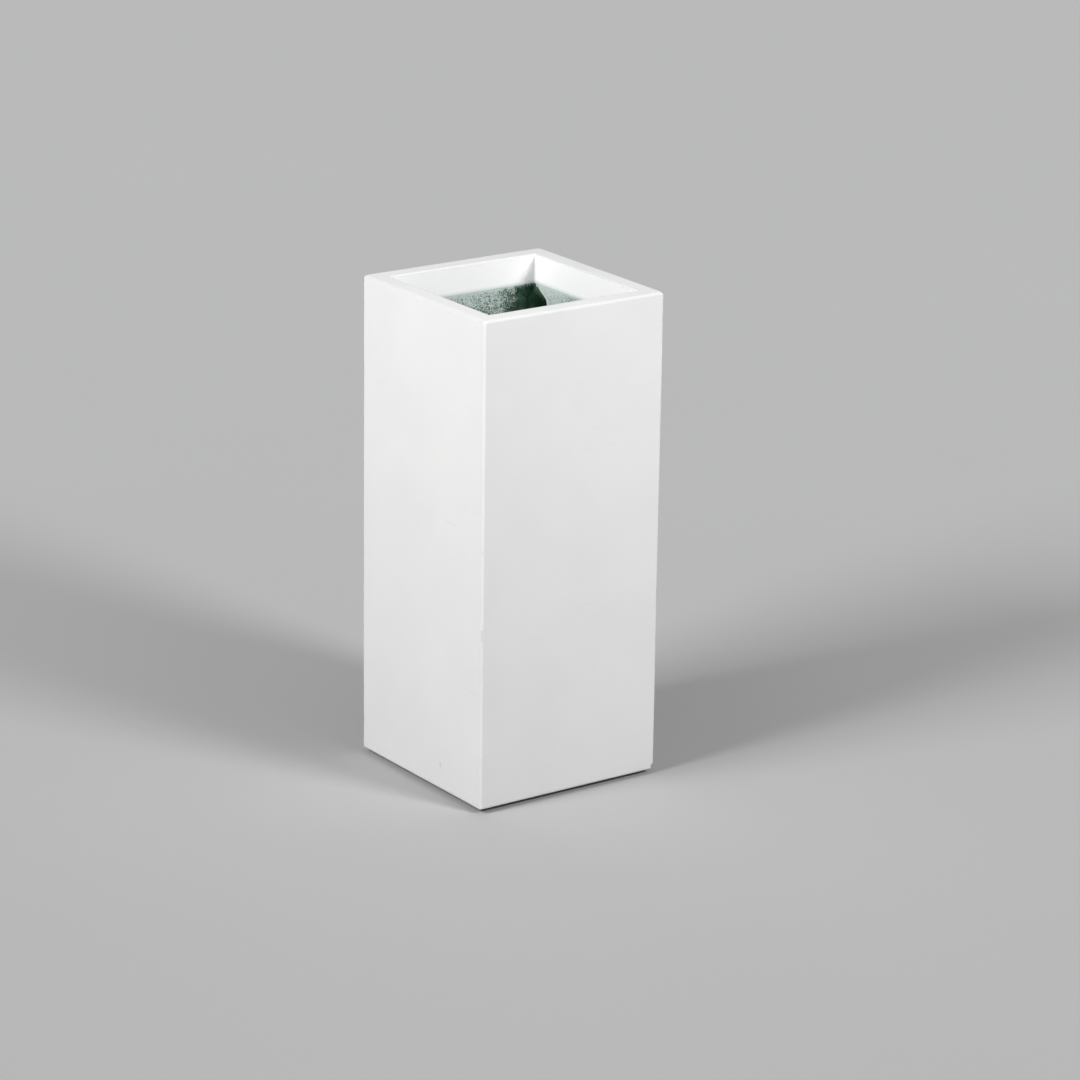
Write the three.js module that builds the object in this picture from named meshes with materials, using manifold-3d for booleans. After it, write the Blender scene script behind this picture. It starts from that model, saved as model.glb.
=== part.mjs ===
// A tall square planter: white moulded fibreglass over a plywood carcass, with a raw laminate
// lining, a drain with a lift-out rubber plug, and four screwed-on rubber feet.
// Millimetres, +Z up, the front towards -Y. The origin is on the floor, under the middle.

import * as THREE from 'three';
import { mergeVertices } from 'three/addons/utils/BufferGeometryUtils.js';
import Module from 'manifold-3d';

const wasm = await Module();
wasm.setup();

// Overall sizes of the body, without its feet
const bodyWidth = 300;
const bodyDepth = 300;
const bodyHeight = 700;

// Layers of the wall, from outside to inside, and what parts them
const skinWall = 4;
const boardThickness = 18;
const liningWall = 4.4;
const bondLine = 0.3; // resin between two layers, and the gap under anything that is seated

// Mouth and edges
const paintedBand = 42; // how far the painted return runs down inside the mouth
const outerCornerRadius = 3; // upright edges
const outerEdgeRadius = 2; // rim and bottom edges
const mouthCornerRadius = 2;
const mouthEdgeChamfer = 2;

// Planting cavity
const liningCornerRadius = 18; // glass mat bridges the upright corners
const liningFloorRadius = 10; // and the foot of the walls

// Base
const baseSkinThickness = 3;
const baseBoardThickness = 18;

// Drain
const drainBoreRadius = 11;
const bushWall = 3;
const bushFlangeWidth = 8; // beyond the tube
const bushFlangeThickness = 2.4;
const bushHoleClearance = 0.4; // around its tube and its flange
const bushMouthChamfer = 1;

// Drain plug
const plugFit = 0.3; // between the sealing ribs and the bore
const plugLength = 14; // below its head
const plugRibDepth = 0.8;
const plugRibCount = 3;
const plugTipTaper = 1.2;
const plugHeadOverlap = 4; // of the head beyond the bore
const plugHeadThickness = 3.5;
const plugNeckRadius = 6;
const plugNeckHeight = 8;
const plugKnobRadius = 9;
const plugKnobThickness = 5;
const plugEdgeRadius = 1;

// Feet
const footHeight = 6;
const footTopRadius = 16;
const footTreadRadius = 14.5;
const footEdgeRadius = 1;
const footInset = 40; // centre of a foot from the sides of the body
const screwCover = 0.8; // how far the screw's head stays above the floor
const footRecessClearance = 0.5; // around the washer

// Screws and washers in the feet
const washerOverlap = 1.5; // of the washer beyond the screw's head
const washerThickness = 1;
const screwHeadRadius = 4;
const screwHeadHeight = 1.8;
const screwHeadEdge = 1.2; // height of the head's rounded rim
const screwLength = 18; // under the head
const screwRadius = 2; // thread crest
const screwRootRadius = 1.5;
const screwPlainLength = 3;
const screwPitch = 1.8;
const screwTipLength = 3;
const screwClearance = 0.4; // in everything that the screw passes through
const screwPilotSpare = 1; // past the screw's tip
const crossSlotLength = 4.4;
const crossSlotWidth = 0.9;
const crossSlotDepth = 1.1;

// Worked out from the sizes above
const rimWidth = skinWall + boardThickness + liningWall + 2 * bondLine;
const mouthWidth = bodyWidth - 2 * rimWidth;
const mouthDepth = bodyDepth - 2 * rimWidth;
const liningWidth = mouthWidth + 2 * liningWall;
const liningDepth = mouthDepth + 2 * liningWall;
const carcassWidth = bodyWidth - 2 * (skinWall + bondLine);
const carcassDepth = bodyDepth - 2 * (skinWall + bondLine);
const boardBottom = baseSkinThickness + bondLine;
const boardTop = bodyHeight - skinWall - bondLine;
const liningBottom = boardBottom + baseBoardThickness + bondLine;
const liningTop = bodyHeight - paintedBand - bondLine;
const cavityFloor = liningBottom + liningWall;
const underside = footHeight + bondLine; // height of the body's underside above the floor
const bushRadius = drainBoreRadius + bushWall;
const bushHoleRadius = bushRadius + bushHoleClearance;
const bushFlangeRadius = bushRadius + bushFlangeWidth;
const dishRadius = bushFlangeRadius + bushHoleClearance;
const bushTop = cavityFloor; // flush, so that water runs off the floor into the drain
const bushFlangeBottom = bushTop - bushFlangeThickness;
const dishBottom = bushFlangeBottom - bondLine; // recess in the lining for the flange
const plugSeat = bushTop + bondLine;
const plugHeadRadius = drainBoreRadius + plugHeadOverlap;
const screwHoleRadius = screwRadius + screwClearance;
const screwSeat = screwCover + screwHeadHeight; // underside of the screw's head
const washerRadius = screwHeadRadius + washerOverlap;
const washerBottom = screwSeat + bondLine;
const washerTop = washerBottom + washerThickness;
const footRecessDepth = washerTop + bondLine;
const screwReach = screwSeat + screwLength - underside; // tip above the body's underside
const past = 1; // how far a cutting shape runs past the face that it cuts
const roundSegments = 32;
const screwSegments = 12;

// Colours and finishes
const whitePaint = { color: 0xf1f2f0, roughness: 0.42, metalness: 0 };
const rawLaminate = { color: 0x8fa396, roughness: 0.5, metalness: 0 };
const undersideLaminate = { color: 0x9aa39a, roughness: 0.6, metalness: 0 };
const plywood = { color: 0xc9a878, roughness: 0.75, metalness: 0 };
const greyPlastic = { color: 0x6d7274, roughness: 0.45, metalness: 0 };
const plugRubber = { color: 0x2a2b2c, roughness: 0.7, metalness: 0 };
const footRubber = { color: 0x151515, roughness: 0.8, metalness: 0 };
const zincSteel = { color: 0xb9bcbd, roughness: 0.35, metalness: 0.9 };

// A closed geometry as a solid that can be cut.
function solid( geometry ) {

	const bare = geometry.clone();
	bare.deleteAttribute( 'normal' );
	bare.deleteAttribute( 'uv' );
	const merged = mergeVertices( bare );
	return new wasm.Manifold( new wasm.Mesh( {
		numProp: 3,
		vertProperties: new Float32Array( merged.attributes.position.array ),
		triVerts: new Uint32Array( merged.index.array ),
	} ) );

}

// A cut solid as a geometry with flat-shaded faces.
function cutGeometry( cut ) {

	const { vertProperties, triVerts } = cut.getMesh();
	const geometry = new THREE.BufferGeometry();
	geometry.setAttribute( 'position', new THREE.BufferAttribute( vertProperties, 3 ) );
	geometry.setIndex( new THREE.BufferAttribute( triVerts, 1 ) );
	const faceted = geometry.toNonIndexed();
	faceted.computeVertexNormals();
	return faceted;

}

// A rectangle around the origin with round corners.
function roundedRectangle( width, depth, radius ) {

	const x = width / 2 - radius;
	const y = depth / 2 - radius;
	const shape = new THREE.Shape();
	shape.absarc( x, y, radius, 0, Math.PI / 2 );
	shape.absarc( - x, y, radius, Math.PI / 2, Math.PI );
	shape.absarc( - x, - y, radius, Math.PI, 1.5 * Math.PI );
	shape.absarc( x, - y, radius, 1.5 * Math.PI, 2 * Math.PI );
	return shape;

}

// An upright block with round corners, and top and bottom edges rounded by edgeRadius.
function roundedBlock( width, depth, cornerRadius, bottom, top, edgeRadius, edgeSegments ) {

	const inset = 2 * edgeRadius;
	const shape = roundedRectangle( width - inset, depth - inset, cornerRadius - edgeRadius );
	const geometry = new THREE.ExtrudeGeometry( shape, {
		depth: top - bottom - inset,
		curveSegments: 6,
		bevelEnabled: true,
		bevelSize: edgeRadius,
		bevelThickness: edgeRadius,
		bevelSegments: edgeSegments,
	} );
	return geometry.translate( 0, 0, bottom + edgeRadius );

}

// An upright block with square edges, centred on the origin unless x and y say otherwise.
function block( width, depth, bottom, top, x = 0, y = 0 ) {

	const geometry = new THREE.BoxGeometry( width, depth, top - bottom );
	return geometry.translate( x, y, ( bottom + top ) / 2 );

}

// An upright cylinder.
function roundBar( radius, bottom, top, x = 0, y = 0 ) {

	const geometry = new THREE.CylinderGeometry( radius, radius, top - bottom, roundSegments );
	return geometry.rotateX( Math.PI / 2 ).translate( x, y, ( bottom + top ) / 2 );

}

// A turned piece around Z, from a profile of [ radius, height ] points given anticlockwise,
// which is up along its outside.
function turned( profile, segments = roundSegments ) {

	const points = profile.map( ( [ radius, height ] ) => new THREE.Vector2( radius, height ) );
	return new THREE.LatheGeometry( points, segments ).rotateX( Math.PI / 2 );

}

// Points of a quarter circle in a profile, around centre, from angle start by a quarter turn.
function quarter( [ radius, height ], size, start ) {

	const steps = 3;
	const points = [];
	for ( let i = 0; i <= steps; i ++ ) {

		const angle = start + ( i / steps ) * Math.PI / 2;
		points.push( [ radius + size * Math.cos( angle ), height + size * Math.sin( angle ) ] );

	}

	return points;

}

// Centres of the four feet, with the name of each corner.
function footPlaces() {

	const x = bodyWidth / 2 - footInset;
	const y = bodyDepth / 2 - footInset;
	return [
		{ corner: 'front_left', x: - x, y: - y },
		{ corner: 'front_right', x, y: - y },
		{ corner: 'back_left', x: - x, y },
		{ corner: 'back_right', x, y },
	];

}

// Outer skin: four walls, a flat rim and the painted return band inside the mouth.
function outerShell() {

	const outside = roundedBlock(
		bodyWidth, bodyDepth, outerCornerRadius, 0, bodyHeight, outerEdgeRadius, 4 );
	const mouth = new THREE.ExtrudeGeometry(
		roundedRectangle( mouthWidth, mouthDepth, mouthCornerRadius ),
		{ depth: bodyHeight + 2 * past, curveSegments: 4, bevelEnabled: false },
	).translate( 0, 0, - past );
	const flareTop = bodyHeight + mouthEdgeChamfer + past;
	const flareWidth = mouthWidth + 2 * mouthEdgeChamfer;
	const flareDepth = mouthDepth + 2 * mouthEdgeChamfer;
	const mouthEdge = roundedBlock(
		flareWidth, flareDepth, mouthCornerRadius + mouthEdgeChamfer,
		bodyHeight - mouthEdgeChamfer, flareTop, mouthEdgeChamfer, 1 );
	const boardSpace = solid( block(
		bodyWidth - 2 * skinWall, bodyDepth - 2 * skinWall, - past, bodyHeight - skinWall ) )
		.subtract( solid( block( liningWidth, liningDepth, - 2 * past, bodyHeight ) ) );
	const liningSpace = block( liningWidth, liningDepth, - past, bodyHeight - paintedBand );
	return cutGeometry( solid( outside )
		.subtract( solid( mouth ) )
		.subtract( solid( mouthEdge ) )
		.subtract( boardSpace )
		.subtract( solid( liningSpace ) ) );

}

// Raw laminate box of the planting cavity, with rounded inside corners, a drain hole, and a dish
// around the hole that takes the bush's flange.
function innerLining() {

	const cavityTop = liningTop + 2 * liningFloorRadius + past;
	const cavity = roundedBlock(
		mouthWidth, mouthDepth, liningCornerRadius, cavityFloor, cavityTop, liningFloorRadius, 5 );
	const drainHole = roundBar( bushHoleRadius, liningBottom - past, cavityFloor + past );
	const dish = roundBar( dishRadius, dishBottom, cavityFloor + past );
	return cutGeometry( solid( block( liningWidth, liningDepth, liningBottom, liningTop ) )
		.subtract( solid( cavity ) )
		.subtract( solid( drainHole ) )
		.subtract( solid( dish ) ) );

}

// Board in the front or back wall, which runs the whole width of the carcass.
function endBoard( side ) {

	const y = side * ( carcassDepth - boardThickness ) / 2;
	return block( carcassWidth, boardThickness, boardBottom, boardTop, 0, y );

}

// Board in the left or right wall, which fits between the front and back boards.
function sideBoard( side ) {

	const depth = carcassDepth - 2 * ( boardThickness + bondLine );
	const x = side * ( carcassWidth - boardThickness ) / 2;
	return block( boardThickness, depth, boardBottom, boardTop, x, 0 );

}

// Board in the base, between the four wall boards, with pilot holes for the foot screws.
function baseBoard() {

	const width = carcassWidth - 2 * ( boardThickness + bondLine );
	const depth = carcassDepth - 2 * ( boardThickness + bondLine );
	const top = boardBottom + baseBoardThickness;
	const drainHole = roundBar( bushHoleRadius, boardBottom - past, top + past );
	let board = solid( block( width, depth, boardBottom, top ) ).subtract( solid( drainHole ) );
	for ( const { x, y } of footPlaces() ) {

		const pilotTop = screwReach + screwPilotSpare;
		const pilot = roundBar( screwHoleRadius, boardBottom - past, pilotTop, x, y );
		board = board.subtract( solid( pilot ) );

	}

	return cutGeometry( board );

}

// Laminate panel that closes the underside, inside the outer shell's walls.
function baseSkin() {

	const width = bodyWidth - 2 * ( skinWall + bondLine );
	const depth = bodyDepth - 2 * ( skinWall + bondLine );
	const drainHole = roundBar( bushHoleRadius, - past, baseSkinThickness + past );
	let panel = solid( block( width, depth, 0, baseSkinThickness ) )
		.subtract( solid( drainHole ) );
	for ( const { x, y } of footPlaces() ) {

		const hole = roundBar( screwHoleRadius, - past, baseSkinThickness + past, x, y );
		panel = panel.subtract( solid( hole ) );

	}

	return cutGeometry( panel );

}

// Flanged tube through the lining, the base board and the base skin, flush with the cavity's floor.
function drainBush() {

	const edge = bushFlangeThickness / 2;
	return turned( [
		[ drainBoreRadius, 0 ],
		[ bushRadius, 0 ],
		[ bushRadius, bushFlangeBottom ],
		[ bushFlangeRadius, bushFlangeBottom ],
		...quarter( [ bushFlangeRadius - edge, bushTop - edge ], edge, 0 ),
		[ drainBoreRadius + bushMouthChamfer, bushTop ],
		[ drainBoreRadius, bushTop - bushMouthChamfer ],
		[ drainBoreRadius, 0 ],
	] );

}

// Rubber bung: a ribbed, tapered stem in the bush, a head on its flange, and a knob to pull.
// Its own origin is at the seat of its head.
function drainPlug() {

	const ribRadius = drainBoreRadius - plugFit;
	const ribPitch = ( plugLength - plugTipTaper ) / ( 2 * plugRibCount );
	const stem = [];
	for ( let i = 0; i < plugRibCount; i ++ ) {

		const bottom = - plugLength + plugTipTaper + 2 * i * ribPitch;
		stem.push( [ ribRadius, bottom ] );
		stem.push( [ ribRadius, bottom + ribPitch ] );
		stem.push( [ ribRadius - plugRibDepth, bottom + ribPitch ] );
		stem.push( [ ribRadius - plugRibDepth, bottom + 2 * ribPitch ] );

	}

	const neckTop = plugHeadThickness + plugNeckHeight;
	const knobTop = neckTop + plugKnobThickness;
	const edge = plugEdgeRadius;
	return turned( [
		[ 0, - plugLength ],
		[ ribRadius - plugTipTaper, - plugLength ],
		...stem,
		...quarter( [ plugHeadRadius - edge, edge ], edge, - Math.PI / 2 ),
		...quarter( [ plugHeadRadius - edge, plugHeadThickness - edge ], edge, 0 ),
		[ plugNeckRadius, plugHeadThickness ],
		[ plugNeckRadius, neckTop ],
		...quarter( [ plugKnobRadius - edge, neckTop + edge ], edge, - Math.PI / 2 ),
		...quarter( [ plugKnobRadius - edge, knobTop - edge ], edge, 0 ),
		[ 0, knobTop ],
	] );

}

// Rubber foot with a recess for its washer and screw head. Its own origin is on the floor.
function foot() {

	const recessRadius = washerRadius + footRecessClearance;
	return turned( [
		[ recessRadius, 0 ],
		...quarter( [ footTreadRadius - footEdgeRadius, footEdgeRadius ],
			footEdgeRadius, - Math.PI / 2 ),
		[ footTopRadius, footHeight ],
		[ screwHoleRadius, footHeight ],
		[ screwHoleRadius, footRecessDepth ],
		[ recessRadius, footRecessDepth ],
		[ recessRadius, 0 ],
	] );

}

// Steel washer under the recess's ceiling, measured from the floor.
function footWasher() {

	return turned( [
		[ screwHoleRadius, washerBottom ],
		[ washerRadius, washerBottom ],
		[ washerRadius, washerTop ],
		[ screwHoleRadius, washerTop ],
		[ screwHoleRadius, washerBottom ],
	] );

}

// Pan-head screw with a cross slot and ring-cut thread, pointing up, measured from the floor.
function footScrew() {

	const threadStart = screwSeat + screwPlainLength;
	const threadEnd = screwSeat + screwLength - screwTipLength;
	const turns = Math.floor( ( threadEnd - threadStart ) / screwPitch );
	const thread = [];
	for ( let i = 0; i < turns; i ++ ) {

		const height = threadStart + i * screwPitch;
		thread.push( [ screwRootRadius, height ] );
		thread.push( [ screwRadius, height + screwPitch / 2 ] );

	}

	const body = turned( [
		[ 0, screwCover ],
		[ screwHeadRadius - screwHeadEdge, screwCover ],
		[ screwHeadRadius, screwCover + screwHeadEdge ],
		[ screwHeadRadius, screwSeat ],
		[ screwRootRadius, screwSeat ],
		...thread,
		[ screwRootRadius, threadEnd ],
		[ 0, screwSeat + screwLength ],
	], screwSegments );
	const slotTop = screwCover + crossSlotDepth;
	const alongX = block( crossSlotLength, crossSlotWidth, screwCover - past, slotTop );
	const alongY = block( crossSlotWidth, crossSlotLength, screwCover - past, slotTop );
	return cutGeometry( solid( body ).subtract( solid( alongX ).add( solid( alongY ) ) ) );

}

// A named mesh with its own material.
function piece( name, geometry, finish ) {

	const mesh = new THREE.Mesh( geometry, new THREE.MeshStandardMaterial( finish ) );
	mesh.name = name;
	return mesh;

}

// The body stands on the feet, so its group is lifted to its underside's height.
function bodyGroup() {

	const group = new THREE.Group();
	group.position.z = underside;
	group.add( piece( 'outer_shell', outerShell(), whitePaint ) );
	group.add( piece( 'inner_lining', innerLining(), rawLaminate ) );
	group.add( piece( 'wall_board_front', endBoard( - 1 ), plywood ) );
	group.add( piece( 'wall_board_back', endBoard( 1 ), plywood ) );
	group.add( piece( 'wall_board_left', sideBoard( - 1 ), plywood ) );
	group.add( piece( 'wall_board_right', sideBoard( 1 ), plywood ) );
	group.add( piece( 'base_board', baseBoard(), plywood ) );
	group.add( piece( 'base_skin', baseSkin(), undersideLaminate ) );
	group.add( piece( 'drain_bush', drainBush(), greyPlastic ) );
	const plug = piece( 'drain_plug', drainPlug(), plugRubber );
	plug.position.z = plugSeat;
	group.add( plug );
	return group;

}

// One foot with its washer and screw, at its corner on the floor.
function footGroup( { corner, x, y } ) {

	const group = new THREE.Group();
	group.position.set( x, y, 0 );
	group.add( piece( `foot_${ corner }`, foot(), footRubber ) );
	group.add( piece( `foot_washer_${ corner }`, footWasher(), zincSteel ) );
	group.add( piece( `foot_screw_${ corner }`, footScrew(), zincSteel ) );
	return group;

}

const planter = new THREE.Group();
planter.add( bodyGroup() );
for ( const place of footPlaces() ) {

	planter.add( footGroup( place ) );

}

export default planter;
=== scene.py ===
import bpy
import numpy as np
from mathutils import Matrix, Vector


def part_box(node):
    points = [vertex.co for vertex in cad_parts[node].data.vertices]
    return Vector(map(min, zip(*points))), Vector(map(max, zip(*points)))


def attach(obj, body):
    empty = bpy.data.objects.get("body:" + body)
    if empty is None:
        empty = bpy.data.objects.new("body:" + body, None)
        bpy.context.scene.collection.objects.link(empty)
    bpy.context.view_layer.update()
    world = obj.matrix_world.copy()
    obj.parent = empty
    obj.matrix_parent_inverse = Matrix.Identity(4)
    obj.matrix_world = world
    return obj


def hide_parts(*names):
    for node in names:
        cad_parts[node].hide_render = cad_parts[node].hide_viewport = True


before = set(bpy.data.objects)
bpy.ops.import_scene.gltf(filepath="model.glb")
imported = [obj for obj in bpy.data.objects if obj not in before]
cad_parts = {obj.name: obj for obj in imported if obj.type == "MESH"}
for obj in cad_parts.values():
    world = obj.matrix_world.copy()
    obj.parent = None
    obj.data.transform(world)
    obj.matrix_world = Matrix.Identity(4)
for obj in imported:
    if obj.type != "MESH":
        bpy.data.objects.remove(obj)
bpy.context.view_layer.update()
print("frame loaded:", len(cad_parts), "nodes")

mm = 0.001


viewpoint = {
    "centre": (0, 0, 0.3563),  # middle of the planter's body
    "azimuth": -35.22,
    "elevation": 17.82,
    "roll": 0.793,
    "distance": 5.9703,
    "across": 0.042,  # how far the camera stands off the line through the centre
    "up": -0.0213,
    "lens": 141.53,  # millimetres, on the usual 36 mm sensor
}


def newObject(name, data):
    made = bpy.data.objects.new(name, data)
    bpy.context.scene.collection.objects.link(made)
    return made


def addCamera(look):
    turn, tilt, roll = np.radians([look["azimuth"], look["elevation"], look["roll"]])
    back = Vector((np.sin(turn) * np.cos(tilt), -np.cos(turn) * np.cos(tilt), np.sin(tilt)))
    level = Vector((np.cos(turn), np.sin(turn), 0))
    upright = back.cross(level)
    right = level * np.cos(roll) + upright * np.sin(roll)
    up = upright * np.cos(roll) - level * np.sin(roll)
    place = Vector(look["centre"]) + right * look["across"] + up * look["up"]
    place += back * look["distance"]
    lens = bpy.data.cameras.new("camera")
    lens.lens = look["lens"]
    lens.clip_end = 100
    camera = newObject("camera", lens)
    camera.matrix_world = Matrix.Translation(place) @ Matrix((right, up, back)).transposed().to_4x4()
    bpy.context.scene.camera = camera


lamps = {
    "left_lamp": {"place": (-3.00, -0.15, 2.30), "size": 1.35, "power": 112},
    "right_lamp": {"place": (0.76, -2.50, 1.84), "size": 0.80, "power": 65},
    "overhead_lamp": {"place": (-0.87, -0.15, 2.96), "size": 1.4, "power": 5},
}
lampTarget = Vector((0, 0, 0.36))
worldLook = {"ambient": (0.160, 0.162, 0.164), "seen": (0.49, 0.49, 0.492)}


def addLamp(name, look):
    light = bpy.data.lights.new(name, "AREA")
    light.shape = "DISK"
    light.size = look["size"]
    light.energy = look["power"]
    lamp = newObject(name, light)
    place = Vector(look["place"])
    turn = (lampTarget - place).to_track_quat("-Z", "Y").to_matrix().to_4x4()
    lamp.matrix_world = Matrix.Translation(place) @ turn
    lamp.visible_camera = False


# An output socket of a material. Sums with it add Math nodes.
class Wire:
    def __init__(self, finish, socket):
        self.finish = finish
        self.socket = socket

    def maths(self, operation, *values):
        return self.finish.node("ShaderNodeMath", {"operation": operation}, dict(enumerate(values)))

    def __add__(self, other):
        return self.maths("ADD", self, other)

    def __radd__(self, other):
        return self.maths("ADD", other, self)

    def __sub__(self, other):
        return self.maths("SUBTRACT", self, other)

    def __rsub__(self, other):
        return self.maths("SUBTRACT", other, self)

    def __mul__(self, other):
        return self.maths("MULTIPLY", self, other)

    def __rmul__(self, other):
        return self.maths("MULTIPLY", other, self)

    def __truediv__(self, other):
        return self.maths("DIVIDE", self, other)

    def __rtruediv__(self, other):
        return self.maths("DIVIDE", other, self)

    def __abs__(self):
        return self.maths("ABSOLUTE", self)

    def least(self, other):
        return self.maths("MINIMUM", self, other)

    def most(self, other):
        return self.maths("MAXIMUM", self, other)

    def smoothLeast(self, other, blend):
        return self.maths("SMOOTH_MIN", self, other, blend)


seenBy = ("Camera", "Glossy", "Transmission")


# The nodes of a material or a world under construction.
class Finish:
    def __init__(self, owner):
        owner.use_nodes = True
        self.owner = owner
        self.tree = owner.node_tree
        self.tree.nodes.clear()

    def node(self, kind, settings, values, output=0):
        made = self.tree.nodes.new(kind)
        for key, value in settings.items():
            if key == "stops":
                self.setStops(made.color_ramp, value)
            else:
                setattr(made, key, value)
        for key, value in values.items():
            if isinstance(value, Wire):
                self.tree.links.new(value.socket, made.inputs[key])
            else:
                made.inputs[key].default_value = value
        return Wire(self, made.outputs[output])

    def setStops(self, ramp, stops):
        while len(ramp.elements) < len(stops):
            ramp.elements.new(0.5)
        for element, (place, grey) in zip(ramp.elements, stops):
            element.position = place
            element.color = (grey, grey, grey, 1)

    def point(self):
        return self.node("ShaderNodeTexCoord", {}, {}, "Object")

    def flat(self):
        return self.node("ShaderNodeUVMap", {"uv_map": "flat"}, {})

    def mask(self, name):
        return self.node("ShaderNodeAttribute", {"attribute_name": name}, {}, "Fac")

    def axes(self, vector):
        split = self.node("ShaderNodeSeparateXYZ", {}, {0: vector}).socket.node
        return [Wire(self, output) for output in split.outputs]

    def scaled(self, vector, scale, move=(0, 0, 0)):
        return self.node("ShaderNodeMapping", {}, {"Vector": vector, "Scale": scale, "Location": move})

    # Cells of the given size, turned round Z, for patterns that run one way.
    def stretched(self, vector, size, turn, move):
        values = {"Vector": vector, "Scale": size, "Rotation": (0, 0, turn), "Location": move}
        return self.node("ShaderNodeMapping", {"vector_type": "TEXTURE"}, values)

    # 1 for what the camera, a mirror or a glass shows, 0 for light that falls on things.
    def seen(self):
        rays = self.node("ShaderNodeLightPath", {}, {}).socket.node.outputs
        camera, glossy, clear = (Wire(self, rays[f"Is {kind} Ray"]) for kind in seenBy)
        return camera.most(glossy).most(clear)

    def noise(self, vector, scale, detail, rough=0.5, warp=0):
        values = {"Vector": vector, "Scale": scale, "Detail": detail, "Roughness": rough}
        values["Distortion"] = warp
        return self.node("ShaderNodeTexNoise", {}, values)

    def distance(self, vector, place):
        values = {0: vector, 1: place}
        return self.node("ShaderNodeVectorMath", {"operation": "DISTANCE"}, values, "Value")

    # 0 below low and 1 above high, with a soft step between; low may be the larger.
    def ease(self, value, low, high):
        settings = {"interpolation_type": "SMOOTHSTEP"}
        return self.node("ShaderNodeMapRange", settings, {0: value, 1: low, 2: high})

    def curve(self, value, stops):
        return self.node("ShaderNodeValToRGB", {"stops": stops}, {0: value})

    def mix(self, factor, first, second):
        values = {0: factor}
        for key, colour in ((6, first), (7, second)):
            values[key] = colour if isinstance(colour, Wire) else (*colour, 1)
        return self.node("ShaderNodeMix", {"data_type": "RGBA"}, values, 2)

    def surface(self, colour, roughness, height, depth, fixed=None):
        bump = self.node("ShaderNodeBump", {}, {"Strength": 1, "Distance": depth, "Height": height})
        values = {"Base Color": colour, "Roughness": roughness, "Normal": bump, **(fixed or {})}
        return self.finished(self.node("ShaderNodeBsdfPrincipled", {}, values))

    def finished(self, shader, kind="ShaderNodeOutputMaterial"):
        output = self.tree.nodes.new(kind)
        self.tree.links.new(shader.socket, output.inputs["Surface"])
        return self.owner


def newFinish(name):
    return Finish(bpy.data.materials.new(name))


# Places along a length, close together within edge of both ends and wider apart between.
def spreadStops(length, fine, coarse, edge):
    edge = min(edge, length / 2)
    near = np.linspace(0, edge, max(1, round(edge / fine)) + 1)
    between = np.linspace(edge, length - edge, max(1, round((length - 2 * edge) / coarse)) + 1)
    stops = np.concatenate([near, between, length - near])
    return np.unique(np.round(stops / length, 7))


# An outline through corners of [half width, height, third value, fillet radius], as rows of the
# first three. Each corner is an arc that touches both its sides, the third value runs straight
# along it, and runs gives the spacing (fine, coarse, edge) of the side after each corner.
def roundedOutline(corners, runs, closed, arcSteps):
    table = np.array(corners, float)
    count = len(table)
    ends = []
    for i, fillet in enumerate(table[:, 3]):
        here = table[i, :3]
        if not closed and i in (0, count - 1):
            ends.append(here[None])
            continue
        before = table[i - 1, :3]
        after = table[(i + 1) % count, :3]
        inward = (here - before) / np.linalg.norm((here - before)[:2])
        outward = (after - here) / np.linalg.norm((after - here)[:2])
        turn = np.arccos(np.clip(inward[:2] @ outward[:2], -1, 1))
        if fillet <= 0 or turn < 0.02:
            ends.append(here[None])
            continue
        reach = fillet * np.tan(turn / 2)
        start = here - inward * reach
        end = here + outward * reach
        middle = (start + end) / 2
        centre = here + (middle - here) * (fillet / np.cos(turn / 2)) / np.linalg.norm((middle - here)[:2])
        t = np.linspace(0, 1, arcSteps + 1)[:, None]
        spokes = np.sin((1 - t) * turn) * (start - centre) + np.sin(t * turn) * (end - centre)
        arc = centre + spokes / np.sin(turn)
        arc[:, 2] = ((1 - t) * start[2] + t * end[2])[:, 0]
        ends.append(arc)
    rows = []
    for i in range(count):
        rows.append(ends[i])
        if i == count - 1 and not closed:
            break
        start = ends[i][-1]
        end = ends[(i + 1) % count][0]
        stops = spreadStops(np.linalg.norm((end - start)[:2]), *runs[i])[1:-1, None]
        rows.append(start + stops * (end - start))
    return np.concatenate(rows)


# Columns round a square with round corners, anticlockwise from the front left: for each the
# corner centre c, in shares of half width less radius, the outward direction n, and the number of
# the corner it is nearest. A point is c (half - radius) + n radius.
def squareColumns(stops, arcSteps):
    t = 2 * stops - 1
    angle = np.linspace(0, np.pi / 2, arcSteps + 1)[1:-1]
    side = np.stack([t, -np.ones_like(t)], 1)
    sideOut = np.tile([0.0, -1.0], (len(t), 1))
    bend = np.tile([1.0, -1.0], (len(angle), 1))
    bendOut = np.stack([np.sin(angle), -np.cos(angle)], 1)
    quarterTurn = np.array([[0, -1], [1, 0]])
    centres, outs, corners = [], [], []
    for quarter in range(4):
        spin = np.linalg.matrix_power(quarterTurn, quarter).T
        centres += [side @ spin, bend @ spin]
        outs += [sideOut @ spin, bendOut @ spin]
        corners += [np.where(t < 0, quarter - 1, quarter), np.full(len(angle), quarter)]
    return np.concatenate(centres), np.concatenate(outs), np.concatenate(corners)


# How far round a square of that half width each point lies: its coordinates along the two walls
# that meet at its corner, added up, plus one side for every corner before it.
def wrapLength(plan, corners, half):
    angle = corners * np.pi / 2
    along = np.stack([np.cos(angle) - np.sin(angle), np.sin(angle) + np.cos(angle)], -1)
    return (plan * along).sum(-1) + 2 * half * corners


# The same lengths and the heights as the flat coordinates of every face corner.
def wrapFlat(u, z, half):
    rows, columns = u.shape
    faces = gridFaces(rows, columns, True)
    i = faces[..., 0] % rows
    j = faces[..., 1]
    return np.stack([u[i, j % columns] + (j == columns) * 8 * half[i, 0], z[i, 0]], -1)


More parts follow.
